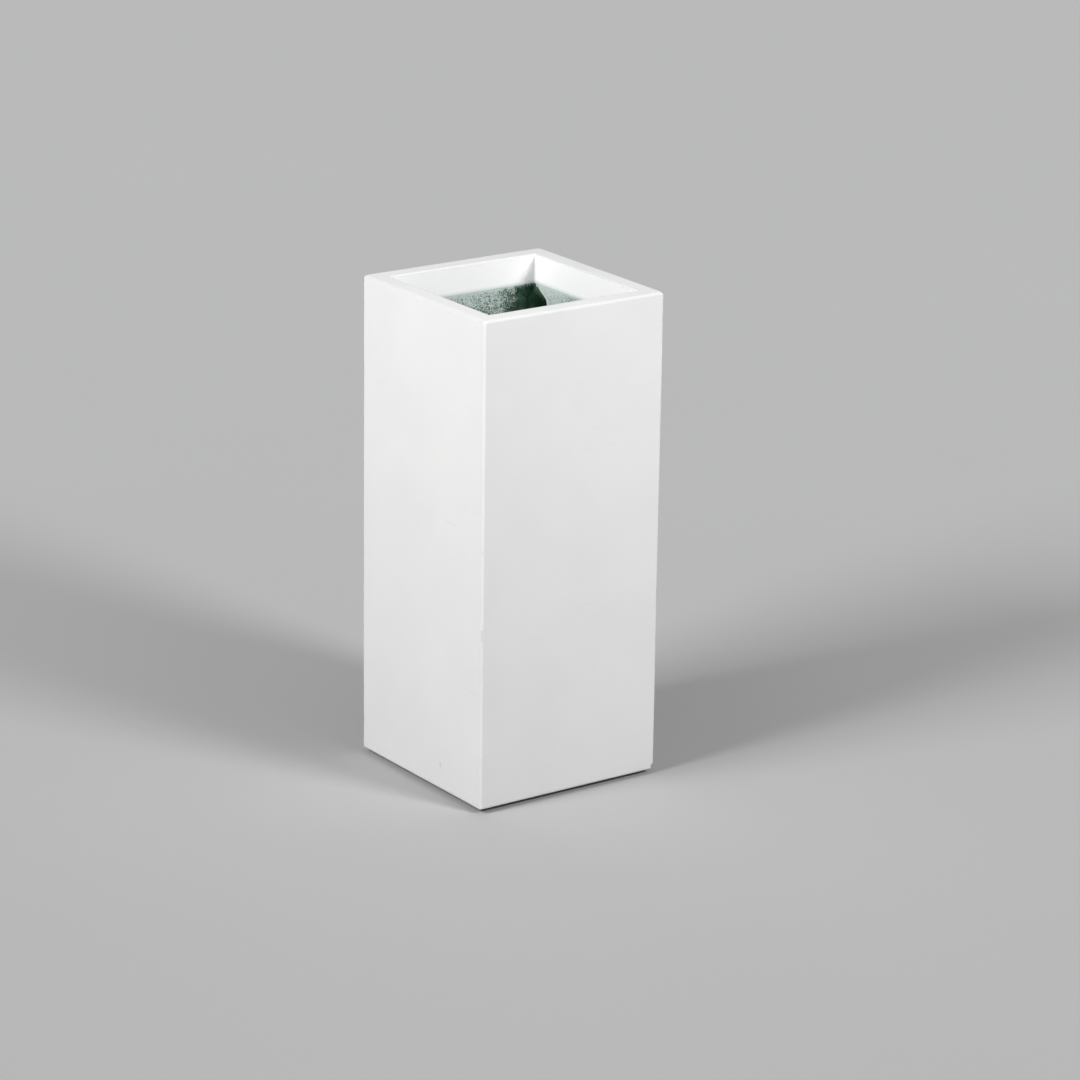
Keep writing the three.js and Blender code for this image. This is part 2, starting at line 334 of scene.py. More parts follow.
# Soft noise between -1 and 1: random values on a lattice of that cell size, joined by smooth
# steps. It repeats across u after its period.
def softNoise(u, v, cell, period, seed):
    across = max(3, round(period / cell))
    up = int((v.max() - v.min()) / cell) + 3
    lattice = np.random.default_rng(seed).uniform(-1, 1, (up, across))
    a = u / period * across
    b = (v - v.min()) / cell
    j = np.floor(a).astype(int)
    i = np.floor(b).astype(int)
    s = a - j
    t = b - i
    s = s * s * (3 - 2 * s)
    t = t * t * (3 - 2 * t)
    low = lattice[i, j % across] * (1 - s) + lattice[i, (j + 1) % across] * s
    high = lattice[i + 1, j % across] * (1 - s) + lattice[i + 1, (j + 1) % across] * s
    return low * (1 - t) + high * t


def softStep(value, low, high):
    t = np.clip((value - low) / (high - low), 0, 1)
    return t * t * (3 - 2 * t)


# Outward unit normals of a closed grid of points: the cross product of its two directions.
def gridNormals(points):
    across = np.roll(points, -1, 1) - np.roll(points, 1, 1)
    along = np.roll(points, -1, 0) - np.roll(points, 1, 0)
    normal = np.cross(across, along)
    return normal / np.maximum(np.linalg.norm(normal, axis=2, keepdims=True), 1e-12)


# The four corners of every face of a grid, as [row, column] numbers: rows + 1 where it is closed.
def gridFaces(rows, columns, closed):
    i = np.arange(rows if closed else rows - 1)[:, None]
    j = np.arange(columns)[None]
    corners = [(i, j), (i, j + 1), (i + 1, j + 1), (i + 1, j)]
    return np.stack([np.stack(np.broadcast_arrays(a, b), -1) for a, b in corners], 2)


# A piece in place of a CAD node, from a grid of points [row, column, xyz] whose columns go all the
# way round. Its rows close on themselves, or end in a pole at each end.
def addPiece(name, node, points, material, slotName, body="planter", closed=True, flat=None, masks=None):
    rows, columns = points.shape[:2]
    faces = gridFaces(rows, columns, closed)
    numbers = (faces[..., 0] % rows) * columns + faces[..., 1] % columns
    if closed:
        polygons = numbers.reshape(-1, 4).tolist()
        places = points.reshape(-1, 3)
    else:
        inner = numbers[1:-1].reshape(-1, 4) - columns + 1
        last = (rows - 2) * columns + 1
        ring = np.arange(columns)
        after = (ring + 1) % columns
        first = np.stack([np.zeros_like(ring), 1 + after, 1 + ring], 1)
        end = np.stack([last - columns + ring, last - columns + after, np.full_like(ring, last)], 1)
        polygons = first.tolist() + inner.tolist() + end.tolist()
        places = np.concatenate([points[0, :1], points[1:-1].reshape(-1, 3), points[-1, :1]])
    mesh = bpy.data.meshes.new(name)
    mesh.from_pydata(places.tolist(), [], polygons)
    if flat is not None:
        layer = mesh.uv_layers.new(name="flat")
        layer.data.foreach_set("uv", flat.astype(np.float32).ravel())
    for key, values in (masks or {}).items():
        attribute = mesh.attributes.new(key, "FLOAT", "POINT")
        attribute.data.foreach_set("value", values.astype(np.float32).ravel())
    mesh.shade_smooth()
    mesh.set_sharp_from_angle(angle=np.radians(38))
    mesh.materials.append(material)
    piece = newObject(name, mesh)
    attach(piece, body)
    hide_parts(node)
    print("made", name, len(polygons), "faces")


def nodeSizes(name):
    low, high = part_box(name)
    middle = (low + high) / 2
    return {"half": (high.x - low.x) / 2, "bottom": low.z, "top": high.z, "x": middle.x, "y": middle.y}


shellBox = nodeSizes("outer_shell")
liningBox = nodeSizes("inner_lining")
seatGap = 0.3 * mm  # bond lines, and what lies loose on something else
bandBottom = liningBox["top"] + seatGap

laminateLook = {
    "resinPoolAndShade": (0.002, 0.010, 0.003),  # resin that ran together in the corners, made near black as painted shade where the corner turns from the light
    "resin": (0.012, 0.052, 0.023),
    "resinLight": (0.050, 0.112, 0.073),
    "strand": (0.125, 0.200, 0.155),
    "strandTurns": (0.15, 0.72, 1.31, 1.93, 2.61),
    "strandLength": 30 * mm,
    "strandWidth": 1.3 * mm,
    "dusting": (0.600, 0.685, 0.655),
    "thickDust": (0.82, 0.85, 0.84),
    "underside": (0.20, 0.235, 0.205),
    "grit": (0.16, 0.145, 0.12),
    "dustStart": -10 * mm,  # depth below the band
    "dustReach": 0.4,
    "dustCover": (  # share of that reach, and of the laminate that the dust covers there
        (0, 1), (0.022, 0.95), (0.036, 0.66), (0.07, 0.56),
        (0.12, 0.47), (0.19, 0.38), (0.36, 0.18), (0.80, 0.04),
    ),
    "sharpCorner": 31 * mm,  # width of bare resin and painted corner shade beside a corner, on the left and right walls
    "sharpSlope": 1.62,  # how fast it gets that wide below the band
    "softCorner": 64 * mm,  # and on the front and back walls, where it fades out
    "blobs": (((0.1225, 0.1180, 0.6596), 1.7 * mm), ((0.1222, 0.0919, 0.6488), 2.1 * mm)),  # place, radius
}


# Chopped glass strands in green resin: colour, height and strand mask.
def glassMat(finish, flat):
    look = laminateLook
    strands = None
    for turn in look["strandTurns"]:
        size = (look["strandLength"], look["strandWidth"], 1)
        lines = finish.noise(finish.stretched(flat, size, turn, (0.1 * turn, 0.3 * turn, 0)), 1, 1)
        layer = finish.ease(lines, 0.57, 0.66)
        strands = layer if strands is None else strands.most(layer)
    clots = finish.noise(flat, 46, 3, 0.6)
    resin = finish.mix(finish.ease(clots, 0.38, 0.70), look["resin"], look["resinLight"])
    colour = finish.mix(strands * finish.ease(clots, 0.30, 0.62) * 0.7, resin, look["strand"])
    return colour, clots * 0.9 + strands * 0.4, strands


# How much paint dust lies on the laminate, in drops that thin out with the depth below the painted band and
# leave the resin in the upright corners bare, which is partly real bare resin and partly painted corner
# shade; the drops' grain; and how deep the darkest resin stands in the corners, partly resin pooled there
# and partly painted shade.
def paintDust(finish):
    look = laminateLook
    point = finish.point()
    x, y, z = finish.axes(point)
    depth = bandBottom - z
    gap = mouthHalf - abs(x).least(abs(y))
    sideWall = finish.ease(abs(x) - abs(y), -3 * mm, 3 * mm)
    grain = finish.noise(point, 520, 3, 0.75)
    drops = finish.noise(point, 210, 3, 0.7) * 0.35 + grain * 0.65
    patches = finish.noise(point, 55, 3, 0.6)
    cover = finish.curve((depth - look["dustStart"]) / look["dustReach"], look["dustCover"])
    reach = ((depth - 0.6 * mm) * look["sharpSlope"]).smoothLeast(look["sharpCorner"], 12 * mm)
    past = gap - reach + (patches - 0.5) * 5 * mm
    sharp = finish.ease(past, 1.4 * mm, -1.0 * mm)
    # A pale line of extra dust just past the bare corner: painted highlight where the rounded corner turns
    # towards the light.
    paleCrestHighlight = finish.ease(abs(past - 3 * mm), 3.5 * mm, 0.5 * mm) * finish.ease(depth, 1 * mm, 6 * mm)
    paleCrestHighlight = paleCrestHighlight * finish.ease(depth, 120 * mm, 50 * mm)
    soft = finish.ease(gap + (patches - 0.5) * 45 * mm, look["softCorner"], 16 * mm)
    soft = soft * finish.ease(depth, -5 * mm, 10 * mm)
    # Bare resin near the corners: partly real, where the overspray did not reach, and partly painted shade
    # of the corners.
    bareAndShaded = sharp * sideWall + soft * (1 - sideWall)
    thinner = finish.ease(gap, 45 * mm, 95 * mm) * 0.16 - 0.10 - paleCrestHighlight * 0.35
    cover = (cover - thinner * sideWall) * (1 - bareAndShaded * 0.92) + (patches - 0.5) * 0.22
    level = 0.5 - (cover - 0.5) * 0.40
    dust = finish.ease(drops, level - 0.09, level + 0.09)
    for place, size in look["blobs"]:
        dust = dust.most(finish.ease(finish.distance(point, place), size, size * 0.6))
    across = gap * (sideWall * 2 - 1)
    # The darkest corner resin: partly resin pooled there, partly painted shade where the corner turns away
    # from the light.
    resinPoolAndShade = finish.ease(across, -26 * mm, 16 * mm) * bareAndShaded * finish.ease(depth, 5 * mm, 24 * mm)
    return dust, grain, resinPoolAndShade


def rawLaminate():
    finish = newFinish("raw_laminate_glass_mat")
    matColour, matHeight, strands = glassMat(finish, finish.flat())
    dust, grain, resinPoolAndShade = paintDust(finish)
    # Near-black resin in the corners: partly pooled resin, partly painted shade.
    matColour = finish.mix(resinPoolAndShade * 0.98, matColour, laminateLook["resinPoolAndShade"])
    colour = finish.mix(dust * 0.94, matColour, laminateLook["dusting"])
    thick = finish.ease(grain, 0.60, 0.68) * finish.ease(dust, 0.2, 0.8)
    colour = finish.mix(thick, colour, laminateLook["thickDust"])
    colour = finish.mix(finish.ease(grain, 0.40, 0.33) * 0.55, colour, laminateLook["resin"])
    roughness = 0.36 + dust * 0.25 + strands * 0.06 + resinPoolAndShade * 0.25
    height = matHeight + dust * 0.25 + grain * 0.9
    return finish.surface(colour, roughness, height, 0.0007, {"Specular IOR Level": 0.07})


shellLook = {
    "outerCorner": 4.6 * mm,
    "outerEdge": 3.6 * mm,
    "mouthCorner": 2 * mm,
    "mouthEdge": 2 * mm,
    "skin": 4 * mm,
    "rim": 27 * mm,
    "liningWall": 4.4 * mm,
    "insideCorner": 0.4 * mm,
    "wave": 0.16 * mm,
    "waveCell": 95 * mm,
    "ripple": 0.045 * mm,
    "rippleCell": 27 * mm,
    "edgeWander": 0.14,  # share of the outer corners' radius
    "wanderCells": (55 * mm, 14 * mm),
    "paint": (0.845, 0.848, 0.845),
    "paintWarm": (0.872, 0.872, 0.866),
    "grime": (0.50, 0.49, 0.47),
    # Thin, worn paint, and also the colour of the painted shade along the top edges.
    "thinAndShade": (0.55, 0.57, 0.56),
    "mouthPaintedLight": (0.955, 0.957, 0.953),  # painted light: brighter paint inside the mouth, standing in for the brighter lit band there
    "scratched": (0.30, 0.30, 0.30),
    "core": (0.35, 0.38, 0.35),  # laminate that a chip lays bare
    "coreSpeck": (0.60, 0.61, 0.58),
}
mouthHalf = shellBox["half"] - shellLook["rim"]
chip = {
    "facing": (0.817, -0.576, 0),
    "depth": 5.0 * mm,
    "tall": 10.5 * mm,
    "step": 3.4 * mm,  # height over which it reaches its depth
    "roughness": 0.4 * mm,
    "cell": 2.6 * mm,
}


# A stepped bite out of the front right bottom corner: what lies past a rough upright plane there is
# pulled back onto it, and the plane moves in by depth where the height falls from tall to tall - step.
def breakCorner(points):
    facing = np.array(chip["facing"]) / np.linalg.norm(chip["facing"])
    tip = np.array([shellBox["half"], -shellBox["half"], shellBox["bottom"]])
    height = points[..., 2] - shellBox["bottom"]
    rough = softNoise(points[..., 0] + points[..., 1], points[..., 2], chip["cell"], 1.0, 31)
    depth = chip["depth"] * softStep(height + rough * mm, chip["tall"], chip["tall"] - chip["step"])
    past = (points - tip) @ facing + depth + (rough - 1) * chip["roughness"]
    push = np.where(height < 1.2 * chip["tall"], np.maximum(past, 0), 0)
    inner = np.abs(points[..., :2]).max(2) < shellBox["half"] - shellLook["skin"] + 0.5 * mm
    push[inner] = 0
    return points - push[..., None] * facing, softStep(push, 0.0, 0.4 * mm)


# One closed outline of skin, rim and mouth carried round a square: at the outline's half width h,
# height z and corner radius r a point is c (h - r) + n r. Outside, r wanders by a soft noise, and
# the point moves inwards along its normal by two more.
def mouldedShell(material):
    look = shellLook
    half = shellBox["half"]
    bottom = shellBox["bottom"]
    top = shellBox["top"]
    inner = look["insideCorner"]
    lip = mouthHalf + look["liningWall"]
    corners = [
        (half, bottom, look["outerCorner"], look["outerEdge"]),
        (half, top, look["outerCorner"], look["outerEdge"]),
        (mouthHalf, top, look["mouthCorner"], look["mouthEdge"]),
        (mouthHalf, bandBottom, look["mouthCorner"], 0),
        (lip, bandBottom, inner, 0),
        (lip, top - look["skin"], inner, 0),
        (half - look["skin"], top - look["skin"], inner, 0),
        (half - look["skin"], bottom, inner, 0),
    ]
    runs = mm * np.array([
        (1, 6, 18), (1, 2, 3), (1.2, 1.4, 4), (2, 2, 2), (12, 12, 2), (6, 6, 2), (40, 60, 40), (1, 1, 1),
    ])
    outline = roundedOutline(corners, runs, True, 7)
    centres, outs, nearest = squareColumns(spreadStops(2 * half, 1.1 * mm, 5 * mm, 12 * mm), 9)
    h, z, r = (outline[:, k][:, None] for k in range(3))
    plan = centres * (h - r)[..., None] + outs * r[..., None]
    u = wrapLength(plan, nearest, h)
    tall = z + 0 * u
    outside = softStep(h, half - 4 * mm, half - 2 * mm)
    broad, fine = look["wanderCells"]
    wander = softNoise(u, tall, broad, 8 * half, 3) * 0.6 + softNoise(u, tall, fine, 8 * half, 4) * 0.4
    r = r * (1 + look["edgeWander"] * wander * outside)
    plan = centres * (h - r)[..., None] + outs * r[..., None]
    points = np.concatenate([plan, tall[..., None]], 2)
    wave = look["wave"] * (softNoise(u, tall, look["waveCell"], 8 * half, 1) - 1)
    wave = wave + look["ripple"] * softNoise(u, tall, look["rippleCell"], 8 * half, 2)
    points = points + gridNormals(points) * (wave * outside)[..., None]
    points, broken = breakCorner(points)

    def bell(*shares):
        return np.exp(-sum(share * share for share in shares))

    # Bells at the middle of the rounded top edges, where they catch the most light: the edge mask made from
    # them darkens the paint there, painted shade that tones down their highlight.
    outerRimShade = bell((h - half + 1.1 * mm) / (2.1 * mm), (z - top + 1.1 * mm) / (2.1 * mm))
    mouthRimShade = bell((h - mouthHalf - 0.6 * mm) / (1.3 * mm), (z - top + 0.6 * mm) / (1.3 * mm))
    edge = np.maximum(outerRimShade * 1.1, mouthRimShade * 1.3)
    upright = bell((np.abs(outs).min(1) - 0.7) / 0.25) * outside
    masks = {"broken": broken, "edge": edge + 0 * u, "upright": upright + 0 * u}
    flat = wrapFlat(u, z, h)
    addPiece("moulded_shell", "outer_shell", points, material, "white_paint", flat=flat, masks=masks)


scratches = {
    "tickY": -50.6 * mm,
    "tickHeight": 42.8 * mm,
    "tickSlant": 0.22,  # its width as a share of its length
    "dashHeight": 261 * mm,
    "dashReach": 11 * mm,
    "trailHeight": 195 * mm,
    "trailReach": 62 * mm,
}


# A tick in the left wall, and a dash with a broken trail below it on the front left upright.
def fineScratches(finish, point, x, y, z):
    look = scratches
    half = shellBox["half"]
    tick = abs(y - look["tickY"]) + abs(z - look["tickHeight"]) * look["tickSlant"]
    tick = finish.ease(tick, 1.6 * mm, 0.7 * mm) * finish.ease(x + half, 4.5 * mm, 2.5 * mm)
    upright = abs(x + half - 1.2 * mm) + abs(y + half - 0.5 * mm)
    upright = finish.ease(upright, 1.9 * mm, 0.8 * mm)
    dash = finish.ease(abs(z - look["dashHeight"]), look["dashReach"], look["dashReach"] - 4 * mm)
    trail = finish.ease(abs(z - look["trailHeight"]), look["trailReach"], look["trailReach"] - 12 * mm)
    trail = trail * finish.ease(finish.noise(finish.scaled(point, (300, 300, 60)), 1, 2), 0.40, 0.60)
    return (tick * 0.55).most(upright * (dash * 0.42).most(trail * 0.22))


# White two-pack paint: even and satin, with a fine orange peel, a little dirt near the floor, thin places
# on the edges, painted shade along the rounded top edges against their highlight, a few rub marks, and the
# laminate coming through below the band. Inside the mouth it is painted brighter, as painted light.
def whitePaint():
    look = shellLook
    finish = newFinish("white_satin_paint")
    point = finish.point()
    x, y, z = finish.axes(point)
    cloud = finish.noise(point, 7, 3, 0.55)
    blotch = finish.noise(point, 34, 3, 0.6)
    peel = finish.noise(point, 290, 1, 0.5)
    grain = finish.noise(point, 430, 3, 0.7)
    colour = finish.mix(finish.ease(cloud, 0.3, 0.7), look["paint"], look["paintWarm"])

    inside = finish.ease(abs(x).most(abs(y)), mouthHalf + 2 * mm, mouthHalf + 0.6 * mm)
    # Inside the mouth the paint is made brighter: painted light for the band that the lamps light more
    # there.
    colour = finish.mix(inside, colour, look["mouthPaintedLight"])

    low = finish.ease(z, 40 * mm, 6 * mm)
    dirt = low * low * finish.ease(finish.noise(point, 120, 3, 0.6), 0.45, 0.75) * 0.12
    dust = finish.ease(finish.noise(point, 210, 4, 0.7), 0.66, 0.78) * low * 0.15
    colour = finish.mix(dirt + dust, colour, look["grime"])

    # The edge mask darkens the paint along the rounded top edges: painted shade against their highlight.
    # The noisy worn patches on edges and uprights are real thin paint.
    edge = finish.mask("edge")
    worn = edge.most(finish.mask("upright")) * finish.ease(finish.noise(point, 62, 4, 0.65), 0.55, 0.72)
    colour = finish.mix((worn * 0.35).most(edge * 0.42), colour, look["thinAndShade"])

    rubs = finish.noise(finish.scaled(point, (5, 5, 90), (0.5, 0.2, 0)), 1, 2, 0.6)
    lift = finish.noise(finish.scaled(point, (60, 60, 4), (0.1, -0.15, 0)), 1, 3, 0.6)
    marks = finish.ease(rubs, 0.66, 0.75) * finish.ease(blotch, 0.5, 0.62)
    marks = marks.most(finish.ease(lift, 0.70, 0.78) * finish.ease(cloud, 0.48, 0.60))
    colour = finish.mix(marks * 0.10, colour, look["thinAndShade"])

    scratch = fineScratches(finish, point, x, y, z)
    colour = finish.mix(scratch, colour, look["scratched"])

    broken = finish.mask("broken")
    speck = finish.ease(finish.noise(point, 900, 2), 0.4, 0.6)
    colour = finish.mix(broken, colour, finish.mix(speck, look["core"], look["coreSpeck"]))

    fade = finish.ease(z - bandBottom + (grain - 0.5) * 6 * mm, 6 * mm, -1 * mm) * inside
    colour = finish.mix(fade * 0.85, colour, laminateLook["dusting"])

    roughness = 0.40 + (cloud - 0.5) * 0.10 + (blotch - 0.5) * 0.06
    roughness = roughness + marks * 0.10 + dirt * 0.4 + broken * 0.3
    height = peel * 0.55 + grain * 0.10 + fade * grain * 3.0 - scratch * 0.8 + broken * grain * 6
    return finish.surface(colour, roughness, height, 0.00010, {"Specular IOR Level": 0.40})


liningLook = {
    "cavityCorner": 20 * mm,  # radius of the upright corners once the mat bridges them
    "bridging": 36 * mm,  # depth below the band over which that radius grows
    "floorFillet": 10 * mm,
    "dish": 22.4 * mm,
    "drainHole": 14.4 * mm,
    "dishDepth": 2.7 * mm,
    "lumps": ((34 * mm, 0.95 * mm, 11), (12 * mm, 0.42 * mm, 12), (4.6 * mm, 0.20 * mm, 13)),
}


# The same for the box of the cavity. On its walls r grows smoothly with the depth below the band,
# the dish and the drain hole turn from square to round by their share, and noises of three sizes
# push the mat in and out along its normal.
def rawLining(material):
    look = liningLook
    outer = liningBox["half"]
    bottom = liningBox["bottom"]
    floor = bottom + shellLook["liningWall"]
    tongue = 0.15 * mm
    corners = [
        (look["drainHole"], bottom, 1, 0),
        (outer, bottom, 0, 0),
        (outer, bandBottom - 0.1 * mm, 0, 0),
        (mouthHalf + tongue, bandBottom + 0.04 * mm, 0, 0),
        (mouthHalf, bandBottom - 0.02 * mm, 0, 0),
        (mouthHalf, bandBottom - 85 * mm, 0, 0),
        (mouthHalf, floor, 0, look["floorFillet"]),
        (look["dish"], floor, 1, 0.5 * mm),
        (look["dish"], floor - look["dishDepth"], 1, 0.3 * mm),
        (look["drainHole"], floor - look["dishDepth"], 1, 0.3 * mm),
    ]
    runs = mm * np.array([
        (12, 25, 12), (80, 80, 80), (2, 2, 1), (0.3, 0.3, 0.1), (1.3, 1.3, 20),
        (3, 8, 30), (2, 4, 12), (1, 1, 1), (2, 2, 1), (1, 1, 0.5),
    ])
    outline = roundedOutline(corners, runs, True, 8)
    centres, outs, nearest = squareColumns(spreadStops(2 * mouthHalf, 1.6 * mm, 3.7 * mm, 30 * mm), 15)
    h, z, roundness = (outline[:, k][:, None] for k in range(3))
    wallRow = (h <= mouthHalf + 0.01 * mm) & (h > look["dish"]) & (z > floor - 0.1 * mm)
    depth = bandBottom - z
    corner = look["cavityCorner"] - shellLook["mouthCorner"]
    r = shellLook["mouthCorner"] + corner * softStep(depth, 0.5 * mm, look["bridging"])
    r = np.where(wallRow, r, 0.4 * mm)
    r = np.minimum(r, 0.98 * h)
    square = centres * (h - r)[..., None] + outs * r[..., None]
    spokes = centres + 0.1 * outs
    spokes = spokes / np.linalg.norm(spokes, axis=1, keepdims=True)
    share = roundness[..., None]
    plan = square * (1 - share) + h[..., None] * spokes * share
    u = wrapLength(square, nearest, h)
    tall = z + 0 * u
    points = np.concatenate([plan, tall[..., None]], 2)

    upper = softStep(tall, floor + 2 * mm, floor + 14 * mm)
    lumps = 0 * u
    for cell, size, seed in look["lumps"]:
        wall = softNoise(u, tall, cell, 8 * mouthHalf, seed)
        ground = softNoise(points[..., 0] + 0.5, points[..., 1] + 0.5, cell, 1.0, seed + 40)
        lumps = lumps + size * (wall * upper + ground * (1 - upper))
    fade = softStep(depth, 1 * mm, 24 * mm) * softStep(h, look["dish"] + 1 * mm, look["dish"] + 14 * mm)
    points = points + gridNormals(points) * (lumps * fade * wallRow)[..., None]

    faces = gridFaces(*points.shape[:2], True)
    ground = points[faces[..., 0] % len(points), faces[..., 1] % len(centres), :2]
    onFloor = (points[faces[..., 0] % len(points), 0, 2].max(2) < floor + 5 * mm)[..., None, None]
    flat = np.where(onFloor, ground + 0.31, wrapFlat(u, z, h))
    addPiece("raw_lining", "inner_lining", points, material, "raw_laminate", flat=flat)


# A round piece: the outline, as half widths and heights, turned round the upright axis of the node
# it replaces, each point of it pushed in or out by relief(angle, radius, height).
def turnedPiece(name, node, outline, columns, material, slotName, relief=None, **more):
    box = nodeSizes(node)
    angle = np.arange(columns) * 2 * np.pi / columns
    radius = outline[:, 0][:, None] + 0 * angle
    tall = outline[:, 1][:, None] + 0 * angle
    if relief:
        radius, tall = relief(angle[None], radius, tall)
    points = np.stack([box["x"] + radius * np.cos(angle), box["y"] + radius * np.sin(angle), tall], 2)
    addPiece(name, node, points, material, slotName, **more)


# Corners of a ring-shaped groove of that width and depth in a level face, met from the inside when
# the face looks down and from the outside when it looks up.
def grooveCorners(radius, height, width, depth, up):
    side = 1 if up else -1
    outer = radius + side * width / 2
    inner = radius - side * width / 2
    slope = side * width * 0.2
    return [
        (outer, height, 0, 0.15 * mm), (outer - slope, height - side * depth, 0, 0.15 * mm),
        (inner + slope, height - side * depth, 0, 0.15 * mm), (inner, height, 0, 0.15 * mm),
    ]


bushLook = {
    "bore": 11 * mm,
    "tube": 14 * mm,
    "flange": 22 * mm,
    "flangeDepth": 2.4 * mm,
    "mouthRound": 0.9 * mm,
    "grooves": (19.8 * mm, 17.4 * mm),  # rings on the flange that hold the sealant
    "grooveWidth": 1.1 * mm,
    "grooveDepth": 0.35 * mm,
    "plastic": (0.120, 0.135, 0.142),
    "scuffed": (0.200, 0.215, 0.220),
    "silt": (0.23, 0.20, 0.155),
}


# A tube with a ringed flange on top, turned from its section.
def drainBush(material):
    look = bushLook
    box = nodeSizes("drain_bush")
    corners = [
        (look["bore"], box["bottom"], 0, 0.4 * mm),
        (look["tube"], box["bottom"], 0, 0.4 * mm),
        (look["tube"], box["top"] - look["flangeDepth"], 0, 0.3 * mm),
        (look["flange"], box["top"] - look["flangeDepth"], 0, 0.3 * mm),
        (look["flange"], box["top"], 0, 0.5 * mm),
    ]
    for radius in look["grooves"]:
        corners += grooveCorners(radius, box["top"], look["grooveWidth"], look["grooveDepth"], True)
    corners.append((look["bore"], box["top"], 0, look["mouthRound"]))
    outline = roundedOutline(corners, [(0.8 * mm, 2 * mm, 2 * mm)] * len(corners), True, 4)
    turnedPiece("flanged_drain_bush", "drain_bush", outline, 96, material, "grey_plastic")


plugLook = {
    "tipRadius": 8.6 * mm,
    "core": 9.9 * mm,
    "rib": 10.68 * mm,
    "ribs": 3,
    "head": 15 * mm,
    "headHeight": 3.5 * mm,
    "neck": 5.4 * mm,
    "neckBottom": 7.4 * mm,
    "neckHeight": 8 * mm,
    "knob": 9 * mm,
    "scallops": 12,
    "scallopDepth": 0.55 * mm,
    "dimple": 0.6 * mm,
    "rubber": (0.022, 0.023, 0.024),
    "haze": (0.095, 0.096, 0.098),  # the grey bloom of old rubber
}


# Scalloped grip: the knob's rim drawn in by a cosine of the angle, most at its middle height.
def knobScallops(angle, radius, tall):
    look = plugLook
    box = nodeSizes("drain_plug")
    middle = box["top"] - 2.5 * mm
    grip = softStep(radius, look["knob"] - 2.2 * mm, look["knob"] - 0.4 * mm)
    grip = grip * softStep(tall, middle - 4.5 * mm, middle - 2 * mm)
    wave = (0.5 + 0.5 * np.cos(look["scallops"] * angle)) ** 2
    return radius - grip * wave * look["scallopDepth"], tall


# From the tip up: the ribbed stem, the head that lies on the bush, a neck and the dimpled knob.
def drainPlug(material):
    look = plugLook
    box = nodeSizes("drain_plug")
    bottom = box["bottom"]
    headBottom = nodeSizes("drain_bush")["top"] + seatGap
    headTop = headBottom + look["headHeight"]
    knobBottom = headTop + look["neckHeight"]
    corners = [(0, bottom, 0, 0), (look["tipRadius"], bottom, 0, 1.0 * mm)]
    pitch = (headBottom - bottom - 2.4 * mm) / look["ribs"]
    for number in range(look["ribs"]):
        base = bottom + 2.0 * mm + number * pitch
        corners += [
            (look["core"], base, 0, 0.3 * mm),
            (look["rib"], base + pitch * 0.40, 0, 0.25 * mm),
            (look["rib"], base + pitch * 0.55, 0, 0.25 * mm),
            (look["core"], base + pitch * 0.75, 0, 0.3 * mm),
        ]
    corners += [
        (look["core"], headBottom, 0, 0.4 * mm),
        (look["head"], headBottom, 0, 0.5 * mm),
        (look["head"], headTop - 1.1 * mm, 0, 1.0 * mm),
        (look["neckBottom"], headTop, 0, 1.6 * mm),
        (look["neck"], headTop + 3.2 * mm, 0, 2.5 * mm),
        (look["neck"], knobBottom - 0.6 * mm, 0, 0.8 * mm),
        (look["knob"], knobBottom, 0, 1.2 * mm),
        (look["knob"], box["top"], 0, 1.6 * mm),
        (look["knob"] * 0.55, box["top"], 0, 0.8 * mm),
        (look["knob"] * 0.38, box["top"] - look["dimple"], 0, 0.8 * mm),
        (0, box["top"] - look["dimple"], 0, 0),
    ]
    outline = roundedOutline(corners, [(0.6 * mm, 1.2 * mm, 1.5 * mm)] * len(corners), False, 6)
    turnedPiece("ribbed_drain_plug", "drain_plug", outline, 144, material, "plug_rubber",
                knobScallops, body="plug", closed=False)


footLook = {
    "tread": 14.5 * mm,
    "top": 16 * mm,
    "hole": 2.4 * mm,
    "recess": 6 * mm,
    "recessDepth": 4.2 * mm,
    "grooves": (8.4 * mm, 10.4 * mm, 12.4 * mm),
    "grooveWidth": 0.9 * mm,
    "grooveDepth": 0.5 * mm,
    "rubber": (0.014, 0.014, 0.0145),
    "haze": (0.10, 0.098, 0.094),
}
footCorners = [f"{depth}_{side}" for depth in ("front", "back") for side in ("left", "right")]


# A low cone with a grooved tread, and a recess below that takes the washer and the screw's head.
def rubberFoot(corner, material):
    look = footLook
    node = "foot_" + corner
    box = nodeSizes(node)
    rows = [(look["recess"], box["bottom"], 0, 0.4 * mm)]
    for radius in look["grooves"]:
        rows += grooveCorners(radius, box["bottom"], look["grooveWidth"], look["grooveDepth"], False)
    rows += [
        (look["tread"], box["bottom"], 0, 1.0 * mm),
        (look["top"], box["top"], 0, 0.5 * mm),
        (look["hole"], box["top"], 0, 0.3 * mm),
        (look["hole"], box["bottom"] + look["recessDepth"], 0, 0.2 * mm),
        (look["recess"], box["bottom"] + look["recessDepth"], 0, 0.3 * mm),
    ]
    outline = roundedOutline(rows, [(0.8 * mm, 2 * mm, 1.5 * mm)] * len(rows), True, 4)
    turnedPiece("moulded_foot_" + corner, node, outline, 96, material, "foot_rubber")


washerLook = {"inner": 2.4 * mm, "outer": 5.5 * mm, "burr": 0.06 * mm}


